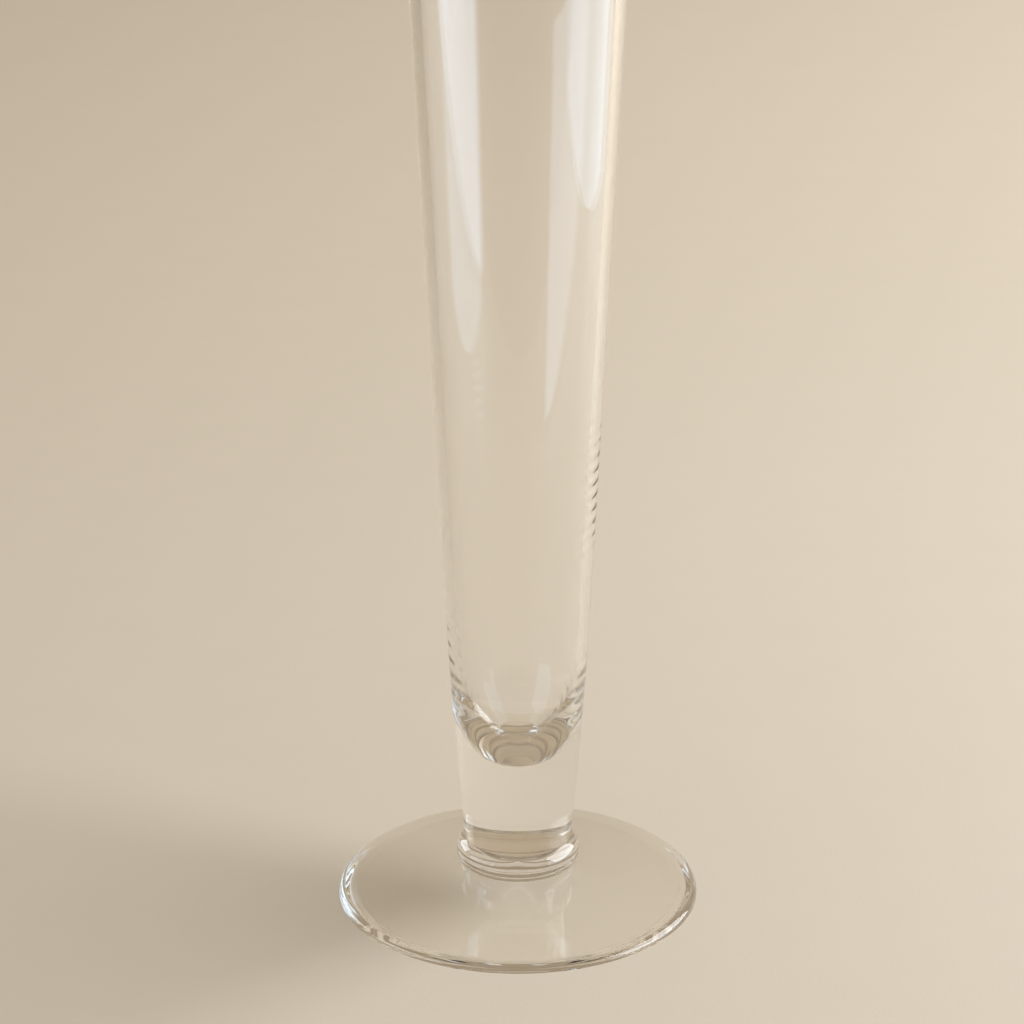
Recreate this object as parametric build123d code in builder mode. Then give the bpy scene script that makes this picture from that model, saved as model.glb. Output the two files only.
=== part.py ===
from build123d import *
import os

# Footed glass flower vase: a tall tapered vessel with a solid heel, joined hot to a
# small solid wafer, which is joined hot to a wide, shallow-coned foot.
# All sizes in mm. Origin: centre of the foot's resting ring. +Z: up the vase's axis.

# Driving dimensions
height = 400.0
mouth_diameter = 74.5
foot_diameter = 115.0
wall = 3.2

# Heights of the two welds, from the surface the vase stands on
foot_weld_z = 13.8
vessel_weld_z = 22.3

# Vessel: a straight taper that draws in more quickly below the shoulder
shoulder_z = 97.0
shoulder_radius = 22.5
heel_radius = 16.9
bore_bowl_z = 84.0
bore_floor_z = 50.0
bore_floor_radius = 12.0
bore_floor_turn = 40.0

# Joining wafer: a rounded bead that leans out from under the heel, in degrees from the vertical
bead_slope = 60.0
wafer_base_radius = 18.2

# Foot: rounded rim, coned top, hollow underneath inside a flat resting ring
rim_thickness = 4.8
rest_inner_radius = 50.0
rest_outer_radius = 53.0
hollow_z = 9.0

mouth_radius = mouth_diameter / 2
foot_radius = foot_diameter / 2
taper = Vector(mouth_radius - shoulder_radius, height - shoulder_z).normalized()
taper_normal = Vector(-taper.Y, taper.X)

os.makedirs("parts", exist_ok=True)

# Vessel: outline of one half, turned about the axis
with BuildPart() as vessel:
    with BuildSketch(Plane.XZ):
        with BuildLine():
            outer_shoulder = Vector(shoulder_radius, shoulder_z)
            rim_outer = outer_shoulder + taper * (height - wall / 2 - shoulder_z) / taper.Y
            rim_inner = rim_outer + taper_normal * wall
            bowl_top = rim_inner + taper * (bore_bowl_z - rim_inner.Y) / taper.Y
            heel = TangentArc(outer_shoulder, (heel_radius, vessel_weld_z), tangent=taper * -1)
            Line(heel @ 1, (0, vessel_weld_z))
            Line((0, vessel_weld_z), (0, bore_floor_z))
            floor = JernArc((0, bore_floor_z), (1, 0), bore_floor_radius, bore_floor_turn)
            TangentArc(bowl_top, floor @ 1, tangent=taper * -1)
            Line(bowl_top, rim_inner)
            TangentArc(rim_inner, rim_outer, tangent=taper)
            Line(rim_outer, outer_shoulder)
        make_face()
    revolve(axis=Axis.Z)

# Joining wafer: one rounded bead between the two welds
with BuildPart() as joining_wafer:
    with BuildSketch(Plane.XZ):
        with BuildLine():
            Line((0, vessel_weld_z), (heel_radius, vessel_weld_z))
            outward = Vector(0, -1).rotate(Axis.Z, bead_slope)
            TangentArc((heel_radius, vessel_weld_z), (wafer_base_radius, foot_weld_z), tangent=outward)
            Line((wafer_base_radius, foot_weld_z), (0, foot_weld_z))
            Line((0, foot_weld_z), (0, vessel_weld_z))
        make_face()
    revolve(axis=Axis.Z)

# Foot: rounded rim, shallow cone on top, shallow hollow below
with BuildPart() as foot:
    with BuildSketch(Plane.XZ):
        with BuildLine():
            rim_round = rim_thickness / 2
            rim_centre = foot_radius - rim_round
            Line((0, foot_weld_z), (wafer_base_radius, foot_weld_z))
            Line((wafer_base_radius, foot_weld_z), (rim_centre, rim_thickness))
            TangentArc((rim_centre, rim_thickness), (foot_radius, rim_round), tangent=(1, 0))
            Line((foot_radius, rim_round), (rest_outer_radius, 0))
            Line((rest_outer_radius, 0), (rest_inner_radius, 0))
            Line((rest_inner_radius, 0), (0, hollow_z))
            Line((0, hollow_z), (0, foot_weld_z))
        make_face()
    revolve(axis=Axis.Z)

for piece, name in ((vessel, "vessel"), (joining_wafer, "joining_wafer"), (foot, "foot")):
    piece.part.label = name
    export_step(piece.part, f"parts/{name}.step")
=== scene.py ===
from itertools import pairwise
from math import atan2, cos, pi, radians, sin

import bmesh
import bpy
from bpy.props import FloatProperty, FloatVectorProperty, PointerProperty
from bpy.types import Operator, Panel, PropertyGroup
from mathutils import Matrix, Vector


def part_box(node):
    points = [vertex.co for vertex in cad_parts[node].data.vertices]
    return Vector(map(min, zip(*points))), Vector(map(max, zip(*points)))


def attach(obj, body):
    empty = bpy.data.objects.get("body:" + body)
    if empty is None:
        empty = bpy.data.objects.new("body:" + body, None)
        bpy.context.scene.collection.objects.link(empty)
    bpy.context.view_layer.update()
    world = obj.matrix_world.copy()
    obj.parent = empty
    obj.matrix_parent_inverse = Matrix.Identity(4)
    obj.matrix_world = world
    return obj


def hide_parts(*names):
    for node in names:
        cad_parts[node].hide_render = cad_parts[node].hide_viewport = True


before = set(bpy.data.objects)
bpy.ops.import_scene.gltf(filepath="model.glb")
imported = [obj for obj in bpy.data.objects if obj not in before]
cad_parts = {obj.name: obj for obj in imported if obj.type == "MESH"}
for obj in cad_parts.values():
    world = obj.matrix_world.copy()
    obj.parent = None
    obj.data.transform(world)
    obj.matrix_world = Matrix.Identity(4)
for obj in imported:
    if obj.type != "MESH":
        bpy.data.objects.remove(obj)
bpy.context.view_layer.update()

bl_info = {
    "name": "Footed Glass Vase",
    "version": (1, 0, 0),
    "blender": (4, 5, 0),
    "location": "View3D > Sidebar > Vase",
    "description": "Builds a tall footed glass vase around its packed frame, with a studio to show it in",
    "category": "Add Mesh",
}

MM = 0.001

TURN_STEPS = 192  # facets round each piece
BORE_STEPS = 300  # rings down the straight bore, close enough together for the chill marks
OUTSIDE_STEPS = 30
HEEL_STEPS = 60
LIP_STEPS = 16
BOWL_STEPS = 70
FLOOR_STEPS = 40
BEAD_STEPS = 48
CONE_STEPS = 40
RIM_STEPS = 12
UNDERCUT_STEPS = 8
REST_STEPS = 4

SHARP_ANGLE = radians(50)  # edges that turn more than this stay crisp
TOUCHING = 0.001 * MM  # heights closer together than this are the same height

vessel_low, vessel_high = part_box("vessel")
wafer_low, wafer_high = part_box("joining_wafer")
foot_low, foot_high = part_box("foot")


# ---------------------------------------------------------------- sizes and colours


def length(name, description, default):
    """A length in metres that a user may change."""
    return FloatProperty(
        name=name, description=description, default=default, unit="LENGTH", subtype="DISTANCE", precision=5
    )


def colour(name, description, default):
    """A linear colour that a user may change."""
    return FloatVectorProperty(
        name=name, description=description, default=default, subtype="COLOR", size=3, min=0.0, max=1.0
    )


def amount(name, description, default, low=0.0, high=1.0):
    """A plain number that a user may change."""
    return FloatProperty(name=name, description=description, default=default, min=low, max=high, precision=4)


def turned_angle(name, description, default):
    """An angle, given here in degrees."""
    return FloatProperty(name=name, description=description, default=radians(default), subtype="ANGLE")


class VesselSizes(PropertyGroup):
    """The blown vessel: a straight taper over a solid heel."""

    weld_height: length("Weld height", "Height of the heel's weld to the wafer", vessel_low.z)
    height: length("Height", "Height of the rim", vessel_high.z)
    mouth_radius: length("Mouth radius", "Outer radius of the mouth, before its edge rounds over", 37.25 * MM)
    wall: length("Wall", "Thickness of the wall", 3.2 * MM)
    shoulder_height: length("Shoulder height", "Where the straight taper starts", 97 * MM)
    shoulder_radius: length("Shoulder radius", "Outer radius where the taper starts", 22.5 * MM)
    heel_radius: length("Heel radius", "Radius of the solid heel at its weld", 16.9 * MM)
    bowl_height: length("Bowl height", "Where the bore starts to close in", 84 * MM)
    floor_height: length("Floor height", "Lowest point of the bore", 50 * MM)
    floor_radius: length("Floor radius", "Radius of the bore's rounded floor", 12 * MM)
    floor_turn: turned_angle("Floor turn", "How far round the floor's arc goes", 40)
    ripple_depth: length("Ripple depth", "Depth of the chill marks inside the wall", 0.05 * MM)


class WaferSizes(PropertyGroup):
    """The small solid wafer between the heel and the foot."""

    weld_height: length("Weld height", "Height of the wafer's weld to the foot", wafer_low.z)
    bead_slope: turned_angle("Bead slope", "How far the bead leans out from the vertical under the heel", 60)
    base_radius: length("Base radius", "Radius of the wafer where it sits on the foot", 18.2 * MM)


class FootSizes(PropertyGroup):
    """The wide foot: a shallow cone with a rounded rim, hollow underneath."""

    radius: length("Radius", "Radius of the rim", foot_high.x)
    rim_thickness: length("Rim thickness", "Thickness of the rounded rim", 4.8 * MM)
    rest_inner_radius: length("Rest inner radius", "Inner radius of the resting ring", 50 * MM)
    rest_outer_radius: length("Rest outer radius", "Outer radius of the resting ring", 53 * MM)
    hollow_height: length("Hollow height", "Height of the hollow under the foot", 9 * MM)


class GlassFinish(PropertyGroup):
    """Clear glass, as it comes from the furnace and the flame."""

    tint: colour("Tint", "Colour of the clear vessel and wafer", (0.99, 0.985, 0.978))
    # Partly the foot glass's own colour and partly painted shade: deeper than the vessel's tint, so the floor
    # seen through the foot looks darker and yellower in place of the shadow the foot doesn't cast
    foot_tint_and_shade: colour("Foot tint", "Colour of the clear foot, a little deeper", (1.0, 0.98, 0.94))
    depth_tint: colour("Depth tint", "Colour the glass turns towards where it is thick", (0.95, 0.935, 0.91))
    depth: amount("Depth", "How strongly thick glass takes that colour, per metre", 3.0, 0.0, 100.0)
    ior: amount("Index of refraction", "How strongly the glass bends light", 1.52, 1.0, 2.5)


class StudioSetup(PropertyGroup):
    """Floor, lights and camera."""

    paper: colour("Paper", "Colour of the seamless paper", (0.70, 0.64, 0.53))
    room: colour("Room", "Colour of the room around the set", (0.34, 0.27, 0.19))
    distance: length("Camera distance", "From the foot's centre to the camera", 1.3)
    elevation: turned_angle("Camera elevation", "How far the camera stands above the foot", 27.57)
    pitch: turned_angle("Camera pitch", "How far the camera looks down", 22.13)
    sideways: length("Camera sideways", "How far left of the vase's axis the camera stands", 1.92 * MM)
    lens: amount("Lens", "Focal length for a 36 mm sensor, in millimetres", 141.1, 10.0, 400.0)


# ---------------------------------------------------------------- shader maths


class Value:
    """A float socket that adds Math nodes when it is used in a Python expression."""

    def __init__(self, tree, socket):
        self.tree = tree
        self.socket = socket

    def _join(self, operation, other):
        node = self.tree.nodes.new("ShaderNodeMath")
        node.operation = operation
        for socket, term in zip(node.inputs, (self, other)):
            if isinstance(term, Value):
                self.tree.links.new(term.socket, socket)
            else:
                socket.default_value = term
        return Value(self.tree, node.outputs[0])

    def __add__(self, other):
        return self._join("ADD", other)

    def __mul__(self, other):
        return self._join("MULTIPLY", other)

    __radd__ = __add__
    __rmul__ = __mul__


class Finish:
    """A node material under construction."""

    def __init__(self, name):
        self.material = bpy.data.materials.new(name)
        self.material.use_nodes = True
        self.tree = self.material.node_tree
        self.tree.nodes.clear()

    def node(self, kind, settings=None, **inputs):
        """Adds a node of a kind, with its settings first and then its sockets' values or links."""
        made = self.tree.nodes.new("ShaderNode" + kind)
        for key, setting in (settings or {}).items():
            setattr(made, key, setting)
        for key, given in inputs.items():
            socket = made.inputs[key.replace("_", " ")]
            if isinstance(given, Value):
                given = given.socket
            if isinstance(given, bpy.types.NodeSocket):
                self.tree.links.new(given, socket)
            else:
                socket.default_value = given
        return made

    def value(self, socket):
        """Wraps a float socket of this material for use in an expression."""
        return Value(self.tree, socket)

    def blend(self, factor, first, second):
        """Mixes two colours by a factor socket, and returns the mixed colour's socket."""
        mix = self.node("Mix", {"data_type": "RGBA"}, Factor=factor)
        mix.inputs[6].default_value = opaque(first)
        mix.inputs[7].default_value = opaque(second)
        return mix.outputs[2]

    def finish(self, surface, volume=None):
        """Links the shader to the output and returns the material."""
        output = self.tree.nodes.new("ShaderNodeOutputMaterial")
        self.tree.links.new(surface, output.inputs["Surface"])
        if volume is not None:
            self.tree.links.new(volume, output.inputs["Volume"])
        return self.material


def opaque(rgb):
    """A colour with full alpha, for a colour socket."""
    return (*rgb, 1.0)


# ---------------------------------------------------------------- outlines and turning


def arc(start, heading, end, steps):
    """Points on the arc that leaves start along heading and ends at end, without start."""
    heading = Vector(heading)
    chord = Vector(end) - Vector(start)
    lean = atan2(heading.y, heading.x)
    half_turn = atan2(heading.cross(chord), heading.dot(chord))
    points = []
    for step in range(1, steps + 1):
        turn = half_turn * step / steps
        reach = chord.length * sin(turn) / sin(half_turn)
        points.append((start[0] + reach * cos(lean + turn), start[1] + reach * sin(lean + turn)))
    return points


def line(start, end, steps):
    """Evenly spaced points from start to end, without start."""
    return [tuple(Vector(start).lerp(Vector(end), step / steps)) for step in range(1, steps + 1)]


def turned(name, outline, materials, weld_heights, inner=(), swell=None):
    """A closed piece turned about the vase's axis from half its outline, (radius, height) from axis to axis.

    Flat faces at the weld heights take the second material. swell gives what to add to the radius of
    the points whose index is in inner, from their angle and height.
    """
    shape = bmesh.new()
    rings = []
    for index, (radius, height) in enumerate(outline):
        if radius == 0:
            rings.append([shape.verts.new((0, 0, height))])
            continue
        ring = []
        for step in range(TURN_STEPS):
            angle = 2 * pi * step / TURN_STEPS
            reach = radius + (swell(angle, height) if index in inner else 0)
            ring.append(shape.verts.new((reach * cos(angle), reach * sin(angle), height)))
        rings.append(ring)
    for first, second in pairwise(rings):
        for step in range(TURN_STEPS):
            corners = [
                first[step % len(first)],
                first[(step + 1) % len(first)],
                second[(step + 1) % len(second)],
                second[step % len(second)],
            ]
            shape.faces.new(dict.fromkeys(corners))
    bmesh.ops.recalc_face_normals(shape, faces=shape.faces)
    for face in shape.faces:
        face.smooth = True
        if any(all(abs(corner.co.z - height) < TOUCHING for corner in face.verts) for height in weld_heights):
            face.material_index = 1
    mesh = bpy.data.meshes.new(name)
    shape.to_mesh(mesh)
    shape.free()
    mesh.set_sharp_from_angle(angle=SHARP_ANGLE)
    for material in materials:
        mesh.materials.append(material)
    piece = bpy.data.objects.new(name, mesh)
    bpy.context.scene.collection.objects.link(piece)
    return piece


# ---------------------------------------------------------------- outlines of the pieces


def vessel_outline(sizes):
    """Half the vessel's outline, and the indices of its points that lie in the bore."""
    shoulder = Vector((sizes.shoulder_radius, sizes.shoulder_height))
    rise = (Vector((sizes.mouth_radius, sizes.height)) - shoulder).normalized()
    inward = Vector((-rise.y, rise.x)) * sizes.wall
    rim_outer = shoulder + rise * ((sizes.height - sizes.wall / 2 - sizes.shoulder_height) / rise.y)
    rim_inner = rim_outer + inward
    bowl_top = rim_inner + rise * ((sizes.bowl_height - rim_inner.y) / rise.y)
    heel = (sizes.heel_radius, sizes.weld_height)
    floor_centre = (0.0, sizes.floor_height)
    floor_edge = (
        sizes.floor_radius * sin(sizes.floor_turn),
        sizes.floor_height + sizes.floor_radius * (1 - cos(sizes.floor_turn)),
    )
    heel_arc = [shoulder, *arc(shoulder, -rise, heel, HEEL_STEPS)]
    floor_arc = [floor_centre, *arc(floor_centre, (1, 0), floor_edge, FLOOR_STEPS)]
    outside = [(0.0, sizes.weld_height), *reversed(heel_arc)]
    outside += line(shoulder, rim_outer, OUTSIDE_STEPS)
    outside += arc(rim_outer, rise, rim_inner, LIP_STEPS)
    bore = line(rim_inner, bowl_top, BORE_STEPS)
    bore += arc(bowl_top, -rise, floor_edge, BOWL_STEPS)
    bore += floor_arc[-2::-1]
    return outside + bore, range(len(outside), len(outside) + len(bore) - 1)


def wafer_outline(sizes, heel_radius, top):
    """Half the wafer's outline: a rounded bead between the two welds."""
    start = (heel_radius, top)
    base = (sizes.base_radius, sizes.weld_height)
    outward = (sin(sizes.bead_slope), -cos(sizes.bead_slope))
    return [(0.0, top), start, *arc(start, outward, base, BEAD_STEPS), (0.0, sizes.weld_height)]


def foot_outline(sizes, hub_radius, top):
    """Half the foot's outline: the weld, the coned top, the rim, the resting ring and the hollow."""
    hub = (hub_radius, top)
    half_rim = sizes.rim_thickness / 2
    rim_top = (sizes.radius - half_rim, sizes.rim_thickness)
    rim_side = (sizes.radius, half_rim)
    rest_outer = (sizes.rest_outer_radius, 0.0)
    rest_inner = (sizes.rest_inner_radius, 0.0)
    outline = [(0.0, top), hub]
    outline += line(hub, rim_top, CONE_STEPS)
    outline += arc(rim_top, (1, 0), rim_side, RIM_STEPS)
    outline += line(rim_side, rest_outer, UNDERCUT_STEPS)
    outline += line(rest_outer, rest_inner, REST_STEPS)
    outline += line(rest_inner, (0.0, sizes.hollow_height), CONE_STEPS)
    return outline


# ---------------------------------------------------------------- materials


def clear_glass(name, look, tint):
    """Clear glass, slightly uneven where it was drawn, faintly smudged, and scuffed where it rests."""
    finish = Finish(name)
    place = finish.node("TexCoord").outputs["Object"]
    drawn = finish.node("Mapping", Vector=place, Scale=(60, 60, 9))
    cords = finish.node("TexNoise", Vector=drawn.outputs[0], Scale=1.0, Detail=2.0)
    uneven = finish.node("Bump", Strength=0.02, Distance=0.002, Height=cords.outputs[0])
    smudges = finish.node("TexNoise", Vector=place, Scale=35.0, Detail=4.0)
    height = finish.node("SeparateXYZ", Vector=place).outputs["Z"]
    scuffed = finish.node("MapRange", Value=height, From_Max=0.3 * MM, To_Min=0.04, To_Max=0.0)
    glass = finish.node(
        "BsdfPrincipled",
        Base_Color=opaque(tint),
        Roughness=finish.value(scuffed.outputs[0]) + 0.02 * finish.value(smudges.outputs[0]),
        Normal=uneven.outputs[0],
        IOR=look.ior,
        Transmission_Weight=1.0,
    )
    depth = finish.node("VolumeAbsorption", Color=opaque(look.depth_tint), Density=look.depth)
    return finish.finish(glass.outputs[0], depth.outputs[0])


def weld(name):
    """A hot weld, where two pieces of glass have run together and nothing shows."""
    finish = Finish(name)
    joined = finish.node("BsdfTransparent", Color=opaque((1, 1, 1)))
    return finish.finish(joined.outputs[0])


MOTTLE = 0.015  # how far the paper's colour strays each way


def seamless_paper(name, look):
    """Pale paper with a faint mottle."""
    finish = Finish(name)
    place = finish.node("TexCoord").outputs["Object"]
    mottle = finish.node("TexNoise", Vector=place, Scale=40.0, Detail=5.0)
    paper = Vector(look.paper)
    shade = finish.blend(mottle.outputs[0], paper * (1 - MOTTLE), paper * (1 + MOTTLE))
    grain = finish.node("TexNoise", Vector=place, Scale=900.0, Detail=3.0)
    tooth = finish.node("Bump", Strength=0.1, Distance=0.0003, Height=grain.outputs[0])
    matt = finish.node(
        "BsdfPrincipled", Base_Color=shade, Roughness=0.9, Specular_IOR_Level=0.1, Normal=tooth.outputs[0]
    )
    return finish.finish(matt.outputs[0])


def black_card(name):
    """Dark card that deepens the glass's reflections."""
    finish = Finish(name)
    card = finish.node("BsdfPrincipled", Base_Color=opaque((0.30, 0.27, 0.22)), Roughness=0.9)
    return finish.finish(card.outputs[0])


# ---------------------------------------------------------------- operators


# Patches of ring-like chill marks in the bore: how deep they are in ripple depths, the angle round
# the vase where they are deepest, their lowest and highest point, and the height of one mark
CHILL_MARKS = (
    (3.5, 0.0, 117 * MM, 170 * MM, 4.4 * MM),
    (3.0, pi, 62 * MM, 106 * MM, 5.0 * MM),
    (3.0, 0.0, 58 * MM, 90 * MM, 4.8 * MM),
)
MARK_REACH = 0.7  # angle over which a patch fades out, to each side of its deepest place


def chill_marks(angle, height):
    """How far the chill marks move the bore's wall at an angle and height, in ripple depths."""
    moved = 0.0
    for depth, deepest, low, high, pitch in CHILL_MARKS:
        turn = (angle - deepest + pi) % (2 * pi) - pi
        if low < height < high and abs(turn) < MARK_REACH:
            across = (1 + cos(pi * turn / MARK_REACH)) / 2
            along = sin(pi * (height - low) / (high - low))
            moved += depth * across * along * sin(2 * pi * height / pitch)
    return moved


class VASE_OT_vessel(Operator):
    """Turn the blown vessel with its solid heel"""

    bl_idname = "vase.vessel"
    bl_label = "Vessel"

    def execute(self, context):
        sizes = context.scene.vase_vessel
        look = context.scene.vase_glass
        outline, bore = vessel_outline(sizes)

        def swell(angle, height):
            return sizes.ripple_depth * chill_marks(angle, height)

        piece = turned(
            "blown_vessel",
            outline,
            [clear_glass("vessel glass", look, look.tint), weld("vessel weld")],
            [sizes.weld_height],
            bore,
            swell,
        )
        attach(piece, "root")
        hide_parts("vessel")
        return {"FINISHED"}


def let_light_through(piece):
    """Lets the lights reach the floor under a clear piece, as they would through real glass."""
    piece.visible_diffuse = False
    piece.visible_shadow = False


class VASE_OT_wafer(Operator):
    """Turn the joining wafer"""

    bl_idname = "vase.joining_wafer"
    bl_label = "Joining Wafer"

    def execute(self, context):
        sizes = context.scene.vase_wafer
        vessel = context.scene.vase_vessel
        look = context.scene.vase_glass
        outline = wafer_outline(sizes, vessel.heel_radius, vessel.weld_height)
        piece = turned(
            "beaded_wafer",
            outline,
            [clear_glass("wafer glass", look, look.tint), weld("wafer weld")],
            [sizes.weld_height, vessel.weld_height],
        )
        let_light_through(piece)
        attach(piece, "root")
        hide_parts("joining_wafer")
        return {"FINISHED"}


class VASE_OT_foot(Operator):
    """Turn the wide foot"""

    bl_idname = "vase.foot"
    bl_label = "Foot"

    def execute(self, context):
        sizes = context.scene.vase_foot
        wafer = context.scene.vase_wafer
        look = context.scene.vase_glass
        outline = foot_outline(sizes, wafer.base_radius, wafer.weld_height)
        piece = turned(
            "drawn_foot",
            outline,
            # The foot's deeper tint is partly painted shade on the floor seen through it
            [clear_glass("foot glass", look, look.foot_tint_and_shade), weld("foot weld")],
            [wafer.weld_height],
        )
        let_light_through(piece)
        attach(piece, "root")
        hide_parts("foot")
        return {"FINISHED"}


def flat_sheet(name, material, left, right, near, far, height):
    """A flat sheet of the set, lying level at a height."""
    corners = ((left, near), (right, near), (right, far), (left, far))
    shape = bmesh.new()
    shape.faces.new([shape.verts.new((x, y, height)) for x, y in corners])
    mesh = bpy.data.meshes.new(name)
    shape.to_mesh(mesh)
    shape.free()
    mesh.materials.append(material)
    sheet = bpy.data.objects.new(name, mesh)
    bpy.context.scene.collection.objects.link(sheet)
    return sheet


def soft_panel(name, centre, facing, width, height, glow, hidden_from=()):
    """A soft rectangular light that faces along facing and looks as bright as glow in each colour.

    hidden_from names the kinds of ray that don't see it.
    """
    light = bpy.data.lights.new(name, "AREA")
    light.shape = "RECTANGLE"
    light.size = width
    light.size_y = height
    light.energy = pi * width * height
    light.color = glow
    lamp = bpy.data.objects.new(name, light)
    aim = Vector(facing).to_track_quat("-Z", "Y").to_matrix()
    lamp.matrix_world = Matrix.Translation(centre) @ aim.to_4x4()
    for kind in hidden_from:
        setattr(lamp, "visible_" + kind, False)
    bpy.context.scene.collection.objects.link(lamp)


# ---------------------------------------------------------------- stage


def lay_paper(look):
    """The pale paper the vase stands on, and the dark card in front that only reflections see."""
    paper = seamless_paper("seamless paper", look)
    flat_sheet("paper_floor", paper, left=-6, right=6, near=-6, far=6, height=-0.2 * MM)
    dark = black_card("black card")
    card = flat_sheet("black_card", dark, left=-3, right=3, near=-3, far=-0.43, height=0.5 * MM)
    card.visible_camera = False
    card.visible_diffuse = False
    card.visible_transmission = False
    card.visible_shadow = False


def hang_lights():
    """A window on each side, and two low cards that brighten the glass near the table.

    Rays that have passed through the glass don't see the windows, so they don't flare inside it. The
    left window shows in the glass only: it doesn't light the paper.
    """
    soft_panel(
        "window",
        centre=(2.0, 0.3, 1.0),
        facing=(-1, -0.16, -0.4),
        width=2.6,
        height=1.8,
        glow=(6.1, 6.15, 6.4),
        hidden_from=("transmission",),
    )
    soft_panel(
        "right_card",
        centre=(0.62, -0.05, 0.15),
        facing=(-1, 0, 0),
        width=0.74,
        height=0.3,
        glow=(0.8, 1.2, 1.6),
    )
    soft_panel(
        "left_card",
        centre=(-0.665, -0.115, 0.10),
        facing=(0.609, 0.793, 0),
        width=0.79,
        height=0.18,
        glow=(1.1, 1.35, 1.75),
    )
    soft_panel(
        "left_window",
        centre=(-1.6, 1.2, 0.5),
        facing=(1.6, -1.2, -0.4),
        width=1.0,
        height=0.9,
        glow=(4.0, 4.6, 5.0),
        hidden_from=("diffuse", "transmission"),
    )


def paint_room(scene, look):
    """The even, dim light of the room around the set."""
    room = bpy.data.worlds.new("studio room")
    room.use_nodes = True
    room.node_tree.nodes["Background"].inputs["Color"].default_value = opaque(look.room)
    scene.world = room


def place_camera(scene, look):
    """A camera in front of the vase, above it and looking down."""
    camera = bpy.data.objects.new("camera", bpy.data.cameras.new("camera"))
    camera.data.lens = look.lens
    camera.location = (
        -look.sideways,
        -look.distance * cos(look.elevation),
        look.distance * sin(look.elevation),
    )
    camera.rotation_euler = (pi / 2 - look.pitch, 0, 0)
    scene.collection.objects.link(camera)
    scene.camera = camera


def set_light_paths(scene):
    """Enough bounces for thick glass, and no bright specks of focused light."""
    scene.view_settings.view_transform = "Standard"
    scene.cycles.blur_glossy = 0
    scene.cycles.caustics_refractive = False
    scene.cycles.caustics_reflective = False
    scene.cycles.max_bounces = 32
    scene.cycles.transmission_bounces = 32
    scene.cycles.glossy_bounces = 24


class VASE_OT_stage(Operator):
    """Set up the floor, the lights and the camera"""

    bl_idname = "vase.stage"
    bl_label = "Stage"

    def execute(self, context):
        scene = context.scene
        look = scene.vase_studio
        lay_paper(look)
        hang_lights()
        paint_room(scene, look)
        place_camera(scene, look)
        set_light_paths(scene)
        return {"FINISHED"}


# ---------------------------------------------------------------- panel and registration


class VASE_PT_build(Panel):
    """Lists the glass, the pieces in the order they are made, and the stage"""

    bl_idname = "VASE_PT_build"
    bl_label = "Footed Glass Vase"
    bl_space_type = "VIEW_3D"
    bl_region_type = "UI"
    bl_category = "Vase"

    def draw(self, context):
        for group, operator in SECTIONS:
            box = self.layout.box()
            if operator:
                box.operator(operator)
            values = getattr(context.scene, group)
            for key in values.__annotations__:
                box.prop(values, key)


# The panel's boxes: a group of values, and its operator if it has one of its own
SECTIONS = (
    ("vase_glass", None),
    ("vase_vessel", "vase.vessel"),
    ("vase_wafer", "vase.joining_wafer"),
    ("vase_foot", "vase.foot"),
    ("vase_studio", "vase.stage"),
)
GROUPS = {
    "vase_vessel": VesselSizes,
    "vase_wafer": WaferSizes,
    "vase_foot": FootSizes,
    "vase_glass": GlassFinish,
    "vase_studio": StudioSetup,
}
CLASSES = (*GROUPS.values(), VASE_OT_vessel, VASE_OT_wafer, VASE_OT_foot, VASE_OT_stage, VASE_PT_build)


def register():
    for cls in CLASSES:
        bpy.utils.register_class(cls)
    for name, group in GROUPS.items():
        setattr(bpy.types.Scene, name, PointerProperty(type=group))


def unregister():
    for name in GROUPS:
        delattr(bpy.types.Scene, name)
    for cls in reversed(CLASSES):
        bpy.utils.unregister_class(cls)


def main():
    register()
    bpy.ops.vase.vessel()
    bpy.ops.vase.joining_wafer()
    bpy.ops.vase.foot()
    bpy.ops.vase.stage()


if __name__ == "__main__":
    main()
